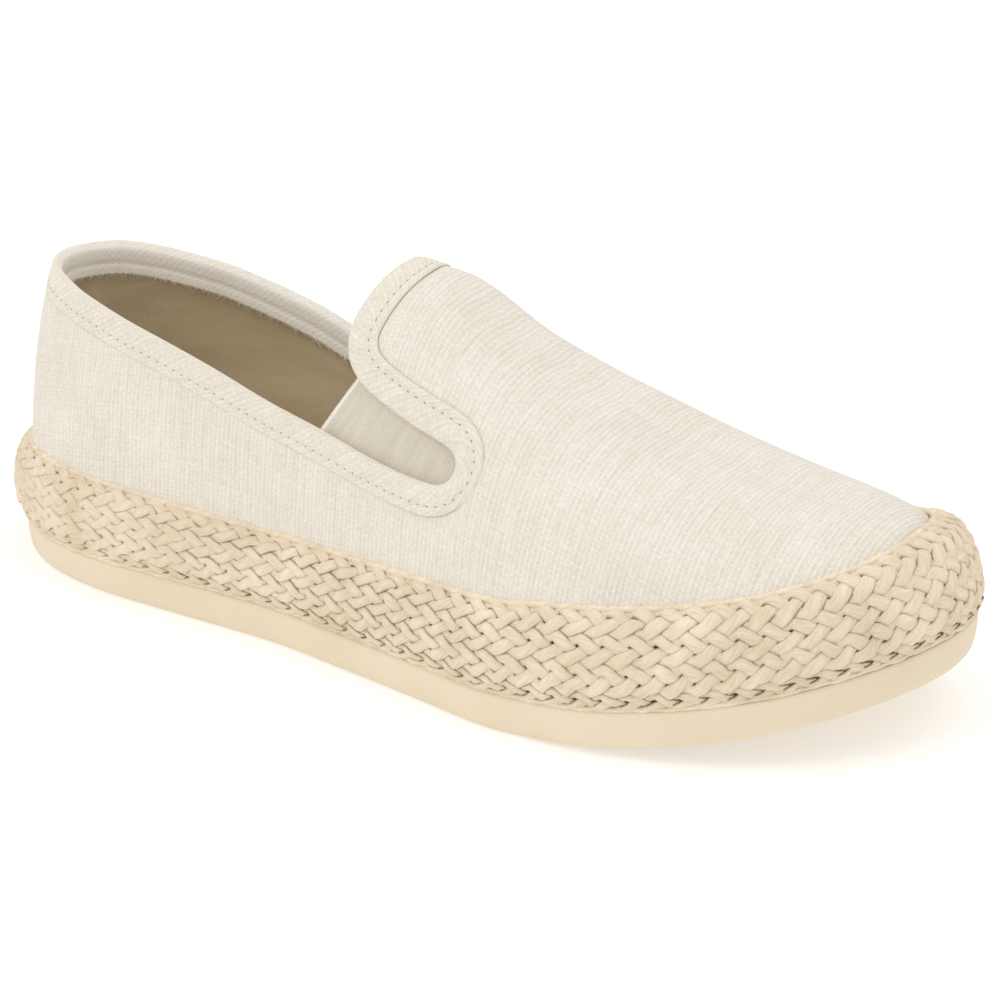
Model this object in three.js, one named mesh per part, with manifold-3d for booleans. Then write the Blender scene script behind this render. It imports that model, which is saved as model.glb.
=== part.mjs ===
// An espadrille: a linen slip-on with two elastic gores, on a braided jute sole over a rubber outsole.
// It is a right shoe. The toe points along +X, the outer (little-toe) side is -Y, and it stands on Z = 0.
// Sizes are in millimetres. In the tables, `at` is a share of the sole's length, 0 at the heel, 1 at the toe.

import * as THREE from 'three';
import { mergeVertices } from 'three/addons/utils/BufferGeometryUtils.js';
import Module from 'manifold-3d';

// Driving dimensions
const SOLE_LENGTH = 256.5;
const TOE_SPRING = 18; // the tip of the tread is this far off the ground
const SPRING_START = 0.62;
const TOE_DRIFT = 10; // the tip of the toe lies this far towards the inner side
const DRIFT_START = 0.55;
const OUTSOLE_HEIGHT = 9.7;
const JUTE_FLOOR = 6; // thickness of the jute sole under the foot
const JUTE_SWELL = 1.8; // how far the jute wall bulges halfway up
const SEAT_GAP = 0.4; // between the upper and the jute wall
const INSOLE_HEIGHT = 3.2;
const UPPER_WALL = 2;
const GORE_WALL = 1.2;
const NOTCH_RADIUS = 4.9;
const GAP = 0.3; // between pieces that touch

// How finely the forms are cut: around the sole, from the lower edge up to the ridge, and along the collar
const AROUND = 72;
const UPWARDS = 13;
const ALONG_COLLAR = 24;

// The side arcs of the last are a little fuller than an ellipse, across and upwards.
const FULL_ACROSS = 0.85;
const FULL_UPWARDS = 0.92;

const FLOOR_HEIGHT = OUTSOLE_HEIGHT + GAP + JUTE_FLOOR;
const FEATHER_HEIGHT = FLOOR_HEIGHT + GAP; // lower edge of the upper, over the tread
const QUARTER_TURN = Math.PI / 2;
const BEYOND = 150; // cutting tools reach this far past the shoe

// The sole's outline at its widest, as half widths from its middle line
const OUTLINE = table(['at', 'outer', 'inner'], [
  [0.04, 21.5, 21.5],
  [0.1, 29.7, 29],
  [0.17, 33.1, 32.5],
  [0.25, 33.7, 32],
  [0.35, 34.4, 29],
  [0.45, 38.2, 28.5],
  [0.55, 42.8, 33],
  [0.64, 46.9, 39.5],
  [0.72, 47.4, 44],
  [0.8, 44.3, 45],
  [0.88, 37.5, 40.8],
  [0.94, 27.5, 33.5],
]);

// The jute wall: its height over the outsole, how far it stands out from the outline at its foot, and its
// thickness inside the outline at its foot and at its rim
const JUTE_WALL = table(['at', 'height', 'out', 'foot', 'rim'], [
  [0, 18.8, 1, 2, 2.4],
  [0.13, 19.3, 0.6, 2.6, 2.7],
  [0.33, 18, -0.6, 3.5, 2.4],
  [0.5, 19.3, -0.8, 4, 2.4],
  [0.62, 20.8, -0.8, 4.5, 2.6],
  [0.72, 22.7, -0.6, 5, 2.8],
  [0.8, 22.4, -0.3, 5, 3.3],
  [0.9, 21.6, 0.2, 5, 4],
  [1, 21.2, 0.8, 5, 5],
]);

// The last's ridge: its height off the ground, and its place across the foot. Behind the throat it is the
// ankle, which the collar cuts away.
const RIDGE = table(['at', 'height', 'across'], [
  [0.09, 94, 0],
  [0.2, 95.5, 0],
  [0.3, 98, 0],
  [0.36, 96, 1],
  [0.41, 91.5, 3],
  [0.44, 90.5, 4],
  [0.472, 89.5, 5],
  [0.55, 77.5, 6],
  [0.65, 65.5, 8],
  [0.75, 56.5, 9],
  [0.88, 50.7, 10],
]);

// The collar's edge along the quarters, seen from the side
const COLLAR = table(['at', 'height'], [
  [-0.1, 75.5],
  [0.055, 75.5],
  [0.115, 73.6],
  [0.195, 69.8],
  [0.275, 65.1],
  [0.355, 59.3],
  [0.415, 56.4],
  [0.495, 53],
  [0.54, 52.1],
]);

// The throat, seen from the side. The notch ends in a round. From there the edge of the flap runs back and
// up round its corner, and on to the ridge.
const NOTCH_END = { x: 139.8, z: 57 };
const NOTCH_TURN = 0.84 * QUARTER_TURN;
const FLAP_EDGE = table(['x', 'z'], [
  [125.5, 66.2],
  [113, 71],
  [108, 78],
  [108.7, 86],
  [110, 91],
  [112, 101],
]);

// A gore, seen from the side: its free edge at the back, then the margins sewn behind the notch
const GORE_EDGE = table(['x', 'z'], [
  [99.5, 51.5],
  [147.5, 45],
  [152.5, 50],
  [151.5, 61],
  [141.5, 69.5],
  [114.5, 76.8],
]);

const MATERIALS = {
  linen: cloth(0xebe5db),
  elastic: cloth(0xded8c8),
  lining: cloth(0xb0a385),
  jute: cloth(0xecd8ba),
  rubber: new THREE.MeshStandardMaterial({ color: 0xeadbc0, roughness: 0.6, metalness: 0 }),
};

function cloth(color) {
  return new THREE.MeshStandardMaterial({ color, roughness: 0.92, metalness: 0 });
}

// A short table: the names of its columns, then a row for each section.
function table(names, rows) {
  return rows.map((row) => Object.fromEntries(names.map((name, column) => [name, row[column]])));
}

// A smooth curve through one column of a table, which never swings past its rows.
function curve(rows, column) {
  const places = rows.map((row) => row.at);
  const values = rows.map((row) => row[column]);
  const last = rows.length - 1;
  const rises = values.slice(1).map((value, i) => (value - values[i]) / (places[i + 1] - places[i]));
  const slopes = values.map((_, i) => {
    if (i === 0 || i === last) return rises[Math.min(i, last - 1)];
    const before = rises[i - 1];
    const after = rises[i];
    return before * after <= 0 ? 0 : (2 * before * after) / (before + after);
  });
  return (at) => {
    const place = THREE.MathUtils.clamp(at, places[0], places[last]);
    const i = Math.min(places.findLastIndex((start) => start <= place), last - 1);
    const span = places[i + 1] - places[i];
    const t = (place - places[i]) / span;
    const share = t * t * (3 - 2 * t);
    const lead = t * (1 - t) * (1 - t) * slopes[i] - t * t * (1 - t) * slopes[i + 1];
    return values[i] * (1 - share) + values[i + 1] * share + lead * span;
  };
}

// Half widths are drawn as squares that fall to nothing at both ends, which rounds the heel and the toe.
function halfWidth(side) {
  const squares = OUTLINE.map((row) => ({ at: row.at, square: row[side] ** 2 }));
  const square = curve([{ at: 0, square: 0 }, ...squares, { at: 1, square: 0 }], 'square');
  return (at) => Math.sqrt(Math.max(square(at), 0));
}

const outerHalf = halfWidth('outer');
const innerHalf = halfWidth('inner');
const wallHeight = curve(JUTE_WALL, 'height');
const footOut = curve(JUTE_WALL, 'out');
const footThickness = curve(JUTE_WALL, 'foot');
const rimThickness = curve(JUTE_WALL, 'rim');
const ridgeHeight = curve(RIDGE, 'height');
const ridgeAcross = curve(RIDGE, 'across');
const collarHeight = curve(COLLAR, 'height');

// How far the sole's middle line swings to the inner side, and how far the tread is off the ground
function drift(at) {
  return TOE_DRIFT * Math.max((at - DRIFT_START) / (1 - DRIFT_START), 0) ** 2;
}

function spring(x) {
  return TOE_SPRING * Math.max((x / SOLE_LENGTH - SPRING_START) / (1 - SPRING_START), 0) ** 2;
}

// Places around the sole are turns from 0 to 1. They start at the heel and pass the outer side, the toe at
// 0.5 and then the inner side.
function shareAt(turn) {
  return (1 - Math.cos(2 * Math.PI * turn)) / 2;
}

function widestOutline(turn) {
  const at = shareAt(turn);
  const side = Math.sin(2 * Math.PI * turn) > 0 ? -outerHalf(at) : innerHalf(at);
  return new THREE.Vector2(at * SOLE_LENGTH, drift(at) + side);
}

// The same outline, set out along its own normal, or in where the distance is negative
function outline(turn, outset) {
  const step = 1e-3;
  const along = widestOutline(turn + step).sub(widestOutline(turn - step)).normalize();
  return widestOutline(turn).add(new THREE.Vector2(along.y, -along.x).multiplyScalar(outset));
}

function ring(pointAt) {
  return Array.from({ length: AROUND }, (_, i) => pointAt(i / AROUND));
}

// The last is made of ribs. Each starts at the upper's lower edge and rises as a full arc to its own place
// on the ridge, where the ribs of the two sides meet.
function rib(turn, inset) {
  const foot = outline(turn, -footThickness(shareAt(turn)) - inset);
  const at = THREE.MathUtils.lerp(RIDGE[0].at, RIDGE.at(-1).at, shareAt(turn));
  const top = new THREE.Vector2(at * SOLE_LENGTH, ridgeAcross(at));
  return { foot, top, base: spring(foot.x) + FEATHER_HEIGHT, crest: ridgeHeight(at) - inset };
}

// A point of a rib, at an angle from 0 at its lower edge to a quarter turn at the ridge
function lastPoint(turn, angle, inset) {
  const { foot, top, base, crest } = rib(turn, inset);
  const plan = foot.lerp(top, 1 - Math.cos(angle) ** FULL_ACROSS);
  return new THREE.Vector3(plan.x, plan.y, base + (crest - base) * Math.sin(angle) ** FULL_UPWARDS);
}

// The same, at a height off the ground
function lastAtHeight(turn, height, inset) {
  const { base, crest } = rib(turn, inset);
  const share = THREE.MathUtils.clamp((height - base) / (crest - base), 0, 1);
  return lastPoint(turn, Math.asin(share ** (1 / FULL_UPWARDS)), inset);
}

// A closed form through a stack of rings. Strips straight across the foot close its two ends, and vanish
// where a ring has shrunk to the ridge.
function stack(rings) {
  const faces = [];
  const index = (level, i) => level * AROUND + (i % AROUND);
  const quad = (a, b, c, d) => faces.push(a, b, c, a, c, d);
  for (let i = 0; i < AROUND; i++) {
    for (let level = 0; level < rings.length - 1; level++) {
      quad(index(level, i), index(level, i + 1), index(level + 1, i + 1), index(level + 1, i));
    }
  }
  const top = rings.length - 1;
  for (let i = 0; i < AROUND / 2; i++) {
    const other = AROUND - i;
    quad(index(0, other), index(0, other - 1), index(0, i + 1), index(0, i));
    quad(index(top, i), index(top, i + 1), index(top, other - 1), index(top, other));
  }
  return closed(rings.flat().flatMap((point) => point.toArray()), faces);
}

// Shared points are merged, and faces that have shrunk to nothing are dropped.
function closed(positions, faces) {
  const loose = new THREE.BufferGeometry();
  loose.setAttribute('position', new THREE.Float32BufferAttribute(positions, 3));
  loose.setIndex(faces);
  const geometry = mergeVertices(loose);
  const corners = geometry.getIndex().array;
  const kept = [];
  for (let i = 0; i < corners.length; i += 3) {
    const [a, b, c] = corners.slice(i, i + 3);
    if (a !== b && b !== c && c !== a) kept.push(a, b, c);
  }
  geometry.setIndex(kept);
  return geometry;
}

// Joins and cuts
const wasm = await Module();
wasm.setup();

function solid(geometry) {
  const vertProperties = new Float32Array(geometry.getAttribute('position').array);
  const triVerts = new Uint32Array(geometry.getIndex().array);
  return new wasm.Manifold(new wasm.Mesh({ numProp: 3, vertProperties, triVerts }));
}

function geometryOf(manifold) {
  const { vertProperties, triVerts } = manifold.getMesh();
  const geometry = new THREE.BufferGeometry();
  geometry.setAttribute('position', new THREE.BufferAttribute(vertProperties, 3));
  geometry.setIndex(new THREE.BufferAttribute(triVerts, 1));
  return geometry;
}

// A tool that cuts straight across the shoe: a shape drawn on the side view, between two places across
function acrossTool(shape, from, to) {
  const geometry = new THREE.ExtrudeGeometry(shape, { depth: to - from, bevelEnabled: false });
  geometry.deleteAttribute('normal');
  geometry.deleteAttribute('uv');
  geometry.rotateX(QUARTER_TURN);
  geometry.translate(0, to, 0);
  return solid(mergeVertices(geometry));
}

// The last, drawn in by an inset and carried on below its lower edge by a depth
function lastForm(inset, below) {
  const angles = Array.from({ length: UPWARDS }, (_, i) => (i / (UPWARDS - 1)) * QUARTER_TURN);
  const rings = angles.map((angle) => ring((turn) => lastPoint(turn, angle, inset)));
  const lowest = rings[0].map((point) => new THREE.Vector3(point.x, point.y, point.z - below));
  return solid(stack(below > 0 ? [lowest, ...rings] : rings));
}

// All that the opening takes away, seen from the side
function openingShape() {
  const shape = new THREE.Shape();
  const start = COLLAR[0].at * SOLE_LENGTH;
  shape.moveTo(start, BEYOND);
  for (let i = 0; i <= ALONG_COLLAR; i++) {
    const x = THREE.MathUtils.lerp(start, NOTCH_END.x, i / ALONG_COLLAR);
    shape.lineTo(x, collarHeight(x / SOLE_LENGTH));
  }
  shape.absarc(NOTCH_END.x, NOTCH_END.z, NOTCH_RADIUS, -QUARTER_TURN, NOTCH_TURN, false);
  shape.splineThru(FLAP_EDGE.map(({ x, z }) => new THREE.Vector2(x, z)));
  shape.lineTo(NOTCH_END.x, BEYOND);
  shape.closePath();
  return shape;
}

// The upper: vamp, flap and quarters in one wall, open at the collar, at the notches and underneath
function buildUpper() {
  const hollow = lastForm(UPPER_WALL, BEYOND);
  const upper = lastForm(0, 0).subtract(hollow).subtract(acrossTool(openingShape(), -BEYOND, BEYOND));
  return geometryOf(upper);
}

// An elastic gore lies against the inside of the upper, behind the notch on one side of the foot.
function buildGore(from, to) {
  const inset = UPPER_WALL + GAP;
  const layer = lastForm(inset, 0).subtract(lastForm(inset + GORE_WALL, BEYOND));
  const shape = new THREE.Shape(GORE_EDGE.map(({ x, z }) => new THREE.Vector2(x, z)));
  return geometryOf(layer.intersect(acrossTool(shape, from, to)));
}

// The rubber outsole: a flat tread, a rounded lower edge and a side wall that swells a little
function buildOutsole() {
  const sections = table(['outset', 'height'], [
    [-2.8, 0],
    [-1.4, 1.2],
    [-0.7, 4],
    [-0.4, 7],
    [-0.8, OUTSOLE_HEIGHT],
  ]);
  return stack(sections.map(({ outset, height }) => ring((turn) => {
    const plan = outline(turn, outset);
    return new THREE.Vector3(plan.x, plan.y, spring(plan.x) + height);
  })));
}

// The jute sole is a tray. Its braided wall swells outwards between its foot and its rounded rim, and on the
// inside it follows the upper down to the floor. A row of the table is a share of the wall's height, and of
// the rim's thickness taken off there.
const JUTE_PROFILE = table(['up', 'in'], [
  [0, 0.4],
  [0.04, 0],
  [0.25, 0],
  [0.5, 0],
  [0.72, 0],
  [0.88, 0.12],
  [0.97, 0.45],
  [1, 0.8],
]);
const SEAT_STEPS = [0.96, 0.8, 0.6, 0.4, 0.2, 0];

function buildJuteSole() {
  const height = (turn, share) => {
    const foot = spring(outline(turn, 0).x) + OUTSOLE_HEIGHT + GAP;
    return foot + wallHeight(shareAt(turn)) * share;
  };
  const outside = ({ up, in: inset }) => ring((turn) => {
    const thickness = rimThickness(shareAt(turn));
    const rim = lastAtHeight(turn, height(turn, 1), -SEAT_GAP - thickness);
    const swell = 4 * JUTE_SWELL * up * (1 - up) - inset * thickness;
    const foot = outline(turn, footOut(shareAt(turn)));
    const plan = foot.lerp(new THREE.Vector2(rim.x, rim.y), up);
    plan.add(outline(turn, swell)).sub(outline(turn, 0));
    return new THREE.Vector3(plan.x, plan.y, height(turn, up));
  });
  const inside = (share) => ring((turn) => {
    const floor = rib(turn, -SEAT_GAP).base;
    return lastAtHeight(turn, THREE.MathUtils.lerp(floor, height(turn, 1), share), -SEAT_GAP);
  });
  const seat = SEAT_STEPS.map(inside);
  const floor = seat.at(-1).map((point) => point.clone().setZ(point.z - GAP));
  return stack([...JUTE_PROFILE.map(outside), ...seat, floor]);
}

// The insole lies on the tray's floor, inside the upper.
function buildInsole() {
  const sections = table(['inset', 'height'], [
    [0.2, 0],
    [0.2, INSOLE_HEIGHT - 0.8],
    [1, INSOLE_HEIGHT],
  ]);
  return stack(sections.map(({ inset, height }) => ring((turn) => {
    const { foot, base } = rib(turn, UPPER_WALL + GAP + inset);
    return new THREE.Vector3(foot.x, foot.y, base + height);
  })));
}

const shoe = new THREE.Group();

function addPiece(name, geometry, material) {
  const mesh = new THREE.Mesh(geometry, material);
  mesh.name = name;
  shoe.add(mesh);
}

addPiece('upper', buildUpper(), MATERIALS.linen);
addPiece('gore_outer', buildGore(-BEYOND, 0), MATERIALS.elastic);
addPiece('gore_inner', buildGore(0, BEYOND), MATERIALS.elastic);
addPiece('insole', buildInsole(), MATERIALS.lining);
addPiece('jute_sole', buildJuteSole(), MATERIALS.jute);
addPiece('outsole', buildOutsole(), MATERIALS.rubber);

// The shoe stands on the ground with the middle of its outline over the origin.
const bounds = new THREE.Box3().setFromObject(shoe);
const middle = bounds.getCenter(new THREE.Vector3());
shoe.position.set(-middle.x, -middle.y, -bounds.min.z);

export default shoe;
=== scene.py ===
import math
import random
from bisect import bisect_right

import bmesh
import bpy
from mathutils import Matrix, Vector
from mathutils.bvhtree import BVHTree


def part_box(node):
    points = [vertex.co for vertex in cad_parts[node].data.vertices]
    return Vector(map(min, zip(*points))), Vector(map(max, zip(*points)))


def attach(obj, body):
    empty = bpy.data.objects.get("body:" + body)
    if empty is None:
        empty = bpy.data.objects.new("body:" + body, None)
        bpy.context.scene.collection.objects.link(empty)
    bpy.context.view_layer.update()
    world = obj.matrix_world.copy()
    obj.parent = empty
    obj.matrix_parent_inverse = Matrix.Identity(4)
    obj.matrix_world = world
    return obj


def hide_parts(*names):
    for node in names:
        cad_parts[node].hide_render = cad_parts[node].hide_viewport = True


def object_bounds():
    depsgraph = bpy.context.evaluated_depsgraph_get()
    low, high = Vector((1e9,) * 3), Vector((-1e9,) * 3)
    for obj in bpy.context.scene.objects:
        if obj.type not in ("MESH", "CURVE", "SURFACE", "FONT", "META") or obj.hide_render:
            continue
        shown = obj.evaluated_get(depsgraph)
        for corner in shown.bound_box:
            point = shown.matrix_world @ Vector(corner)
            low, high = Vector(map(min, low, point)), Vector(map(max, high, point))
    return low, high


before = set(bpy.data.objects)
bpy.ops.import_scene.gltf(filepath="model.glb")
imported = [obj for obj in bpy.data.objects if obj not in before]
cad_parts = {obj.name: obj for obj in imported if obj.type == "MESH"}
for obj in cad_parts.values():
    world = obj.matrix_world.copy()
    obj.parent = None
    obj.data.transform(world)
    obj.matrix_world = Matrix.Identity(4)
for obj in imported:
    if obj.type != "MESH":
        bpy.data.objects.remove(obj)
cad_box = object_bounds()

# ---------------------------------------------------------------------------------------------------
# The camera looks at the outer side of a right shoe, from in front of the toe and a little above it.
# It stands a metre off, behind a long lens, as for a catalogue.
# ---------------------------------------------------------------------------------------------------
CAMERA_AZIMUTH = math.radians(32.44)
CAMERA_ELEVATION = math.radians(23.0)
CAMERA_DISTANCE = 1.0
CAMERA_LENS = 148.8
CAMERA_SHIFT = (0.0474, -0.0072)
LOOK_BEHIND_MIDDLE = 0.0032
LOOK_OUTWARDS = 0.001
LOOK_HEIGHT = 0.035

middle = (cad_box[0] + cad_box[1]) / 2
look_at = Vector((middle.x - LOOK_BEHIND_MIDDLE, middle.y - LOOK_OUTWARDS, LOOK_HEIGHT))
camera_side = Vector((
    math.sin(CAMERA_AZIMUTH) * math.cos(CAMERA_ELEVATION),
    -math.cos(CAMERA_AZIMUTH) * math.cos(CAMERA_ELEVATION),
    math.sin(CAMERA_ELEVATION),
))
camera_data = bpy.data.cameras.new("camera")
camera_data.lens = CAMERA_LENS
camera_data.shift_x, camera_data.shift_y = CAMERA_SHIFT
camera = bpy.data.objects.new("camera", camera_data)
camera.location = look_at + camera_side * CAMERA_DISTANCE
camera.rotation_mode = "QUATERNION"
camera.rotation_quaternion = (-camera_side).to_track_quat("-Z", "Y")
bpy.context.scene.collection.objects.link(camera)
bpy.context.scene.camera = camera

# ---------------------------------------------------------------------------------------------------
# The outsole is moulded crepe-coloured rubber, cemented under the jute. Its side wall is smooth with a
# rounded lower edge, and its tread is a raised rim round rows of shallow waves.
# ---------------------------------------------------------------------------------------------------
# Shoe sizes are in millimetres, from the heel's end along the sole's middle line. `at` is a share of
# the sole's length, 0 at the heel and 1 at the toe.
MM = 0.001
SOLE_LENGTH = 256.5
TOE_SPRING = 18
SPRING_START = 0.62
TOE_DRIFT = 10
DRIFT_START = 0.55
OUTSOLE_HEIGHT = 9.7
WIDEST_INSET = 0.4
AROUND = 240
ACROSS = 10
TREAD_DEPTH = 0.9
TREAD_RIM = 6
WAVE_PITCH = 5.2
WAVE_WIDTH = 2.6
WAVE_SWING = 1.3
WAVE_LENGTH = 11
WAVES_FROM = 12
WAVE_OVERLAP = 0.5
WAVE_ROOT = 0.2
WAVE_STEPS = 40
JOIN_WITHIN = 0.002


def table(names, *rows):
    """A short table: the names of its columns, then a row for each section."""
    return [dict(zip(names.split(), row)) for row in rows]


OUTLINE = table(
    "at outer inner",
    (0.04, 21.5, 21.5),
    (0.1, 29.7, 29),
    (0.17, 33.1, 32.5),
    (0.25, 33.7, 32),
    (0.35, 34.4, 29),
    (0.45, 38.2, 28.5),
    (0.55, 42.8, 33),
    (0.64, 46.9, 39.5),
    (0.72, 47.4, 44),
    (0.8, 44.3, 45),
    (0.88, 37.5, 40.8),
    (0.94, 27.5, 33.5),
)

OUTSOLE_WALL = table(
    "outset height",
    (-TREAD_RIM, TREAD_DEPTH),
    (-TREAD_RIM + 0.2, 0.15),
    (-TREAD_RIM + 0.6, 0),
    (-4.4, 0),
    (-3.1, 0),
    (-2.3, 0.2),
    (-1.6, 0.8),
    (-1.15, 1.7),
    (-0.85, 3),
    (-0.6, 4.8),
    (-0.45, 6.6),
    (-0.4, 8.2),
    (-0.5, 9),
    (-0.8, 9.5),
    (-1.4, OUTSOLE_HEIGHT),
    (-3, OUTSOLE_HEIGHT),
)


def smooth_curve(rows, column):
    """A smooth curve through one column of a table, which never swings past its rows."""
    places = [row["at"] for row in rows]
    values = [row[column] for row in rows]
    rises = [
        (values[i + 1] - values[i]) / (places[i + 1] - places[i]) for i in range(len(rows) - 1)
    ]
    slopes = [rises[0]]
    for before, after in zip(rises, rises[1:]):
        slopes.append(0 if before * after <= 0 else 2 * before * after / (before + after))
    slopes.append(rises[-1])

    def value_at(at):
        at = min(max(at, places[0]), places[-1])
        i = min(bisect_right(places, at), len(rows) - 1) - 1
        span = places[i + 1] - places[i]
        t = (at - places[i]) / span
        share = t * t * (3 - 2 * t)
        lead = t * (1 - t) ** 2 * slopes[i] - t * t * (1 - t) * slopes[i + 1]
        return values[i] * (1 - share) + values[i + 1] * share + lead * span

    return value_at


def half_width(side):
    """Half widths are drawn as squares that fall to nothing at both ends, which rounds them."""
    squares = [{"at": row["at"], "square": row[side] ** 2} for row in OUTLINE]
    square = smooth_curve([{"at": 0, "square": 0}, *squares, {"at": 1, "square": 0}], "square")
    return lambda at: math.sqrt(max(square(at), 0))


outer_half = half_width("outer")
inner_half = half_width("inner")


def share_at(turn):
    """Places round the sole are turns: 0 at the heel, the outer side, 0.5 at the toe, the inner side."""
    return (1 - math.cos(2 * math.pi * turn)) / 2


def spring(x):
    """How far the tread is off the ground"""
    return TOE_SPRING * max((x / SOLE_LENGTH - SPRING_START) / (1 - SPRING_START), 0) ** 2


def toe_drift(at):
    """How far the sole's middle line has swung to the inner side"""
    return TOE_DRIFT * max((at - DRIFT_START) / (1 - DRIFT_START), 0) ** 2


def widest_outline(turn):
    at = share_at(turn)
    side = -outer_half(at) if math.sin(2 * math.pi * turn) > 0 else inner_half(at)
    return Vector((at * SOLE_LENGTH, toe_drift(at) + side))


def outline(turn, outset):
    """The sole's outline, set out along its own normal, or in where the distance is negative"""
    step = 1e-3
    along = (widest_outline(turn + step) - widest_outline(turn - step)).normalized()
    return widest_outline(turn) + Vector((along.y, -along.x)) * outset


outsole_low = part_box("outsole")[0]
outsole_ring = [outline(i / AROUND, -WIDEST_INSET) for i in range(AROUND)]
HEEL_END = Vector((
    outsole_low.x - min(point.x for point in outsole_ring) * MM,
    outsole_low.y - min(point.y for point in outsole_ring) * MM,
    outsole_low.z,
))


def bend_grid(bm, columns, rows, point_at, cloth_at=None):
    """Bends a flat grid into a surface. point_at and cloth_at take shares along it and up it."""
    made = bmesh.ops.create_grid(bm, x_segments=columns, y_segments=rows, size=0.5)["verts"]
    weave = bm.loops.layers.uv.verify()
    for vert in made:
        along = vert.co.x + 0.5
        up = vert.co.y + 0.5
        if cloth_at:
            for loop in vert.link_loops:
                loop[weave].uv = cloth_at(along, up)
        vert.co = point_at(along, up)
    return made


def add_rings(bm, around, levels, point_at, cloth_at=None):
    """A band round the foot, a ring of points for each level. A turn is a share of the way round."""
    top = levels - 1
    bend_grid(bm, around, top, lambda turn, up: point_at(turn, round(up * top)), cloth_at)


def add_lid(bm, around, across, ring_point):
    """Strips straight across the foot, from each point of a ring to the one on the other side"""
    bend_grid(
        bm, around // 2, across,
        lambda along, share: ring_point(along / 2).lerp(ring_point(1 - along / 2), share),
    )


def close_up(bm):
    """Joins the edges that meet and turns the faces outwards."""
    bmesh.ops.remove_doubles(bm, verts=bm.verts, dist=JOIN_WITHIN)
    bmesh.ops.dissolve_degenerate(bm, edges=bm.edges, dist=JOIN_WITHIN)
    bmesh.ops.recalc_face_normals(bm, faces=bm.faces)


def make_object(name, bm):
    """Puts a shape drawn in millimetres from the heel's end into the frame, in metres."""
    bmesh.ops.scale(bm, vec=(MM, MM, MM), verts=bm.verts)
    bmesh.ops.translate(bm, vec=HEEL_END, verts=bm.verts)
    mesh = bpy.data.meshes.new(name)
    bm.to_mesh(mesh)
    bm.free()
    mesh.shade_smooth()
    made = bpy.data.objects.new(name, mesh)
    bpy.context.scene.collection.objects.link(made)
    return made


def fit(piece, material, slot, *nodes):
    """Gives a finished piece its material and fixes it to the shoe."""
    piece.data.materials.clear()
    piece.data.materials.append(material)
    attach(piece, "root")
    if nodes:
        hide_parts(*nodes)
    return piece


def colour(red, green, blue):
    """A colour on the usual scale of 0 to 255, as light"""
    parts = [part / 255 for part in (red, green, blue)]
    return (*(p / 12.92 if p <= 0.04045 else ((p + 0.055) / 1.055) ** 2.4 for p in parts), 1)


class Value:
    """A number that varies over a surface. Arithmetic on it adds Math nodes."""

    def __init__(self, finish, socket):
        self.finish = finish
        self.socket = socket

    def maths(self, operation, *others):
        inputs = dict(enumerate((self, *others)))
        return self.finish.node("ShaderNodeMath", {"operation": operation}, inputs)

    def __add__(self, other):
        return self.maths("ADD", other)

    def __sub__(self, other):
        return self.maths("SUBTRACT", other)

    def __rsub__(self, other):
        return self.maths("MULTIPLY_ADD", -1, other)

    def __mul__(self, other):
        return self.maths("MULTIPLY", other)

    def __abs__(self):
        return self.maths("ABSOLUTE")

    __radd__ = __add__
    __rmul__ = __mul__

    def sine(self):
        return self.maths("SINE")

    def highest(self, other):
        return self.maths("MAXIMUM", other)

    def spread(self, low, high):
        """0 at low and below, 1 at high and above"""
        settings = {"clamp": True}
        return self.finish.node("ShaderNodeMapRange", settings, {0: self, 1: low, 2: high})


class Finish:
    """A material, and the one way of adding a node to it"""

    def __init__(self, name, roughness, specular, sheen=0):
        self.material = bpy.data.materials.new(name)
        self.material.use_nodes = True
        self.tree = self.material.node_tree
        self.shader = self.tree.nodes["Principled BSDF"]
        self.shader.inputs["Roughness"].default_value = roughness
        self.shader.inputs["Specular IOR Level"].default_value = specular
        self.shader.inputs["Sheen Weight"].default_value = sheen

    def node(self, kind, settings, inputs, output=0):
        made = self.tree.nodes.new(kind)
        for name, value in settings.items():
            setattr(made, name, value)
        for name, value in inputs.items():
            self.plug(made.inputs[name], value)
        return Value(self, made.outputs[output])

    def plug(self, socket, value):
        if isinstance(value, Value):
            self.tree.links.new(value.socket, socket)
        else:
            socket.default_value = value

    def place(self, source):
        """Where a point is: "Object", or "UV" for the cloth's own map, as three numbers"""
        spot = self.node("ShaderNodeTexCoord", {}, {}, source)
        return [self.node("ShaderNodeSeparateXYZ", {}, {0: spot}, axis) for axis in range(3)]

    def noise(self, x, y, z, scale=1, detail=2, rough=0.5):
        spot = self.node("ShaderNodeCombineXYZ", {}, {0: x, 1: y, 2: z})
        inputs = {"Vector": spot, "Scale": scale, "Detail": detail, "Roughness": rough}
        return self.node("ShaderNodeTexNoise", {}, inputs)

    def mix(self, share, first, second):
        """From the first colour to the second"""
        settings = {"data_type": "RGBA"}
        return self.node("ShaderNodeMix", settings, {0: share, 6: first, 7: second}, 2)

    def wear(self, paint, height=None, depth=0.0, roughness=None):
        """Joins the colour, the relief in metres and any change of gloss to the shader."""
        self.plug(self.shader.inputs["Base Color"], paint)
        if roughness is not None:
            self.plug(self.shader.inputs["Roughness"], roughness)
        if height is not None:
            inputs = {"Strength": 1, "Distance": depth, "Height": height}
            relief = self.node("ShaderNodeBump", {}, inputs)
            self.plug(self.shader.inputs["Normal"], relief)
        return self.material


def rubber_finish():
    """Matt cream rubber with a faint clouding"""
    finish = Finish("cream_rubber", 0.62, specular=0.35)
    x, y, z = finish.place("Object")
    cloud = finish.noise(x, y, z, scale=45, detail=3)
    grain = finish.noise(x, y, z, scale=1600, detail=2)
    paint = finish.mix(cloud, colour(226, 209, 181), colour(236, 221, 197))
    return finish.wear(paint, grain * 0.7 + cloud, 0.00012, grain * 0.12 + 0.56)


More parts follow.
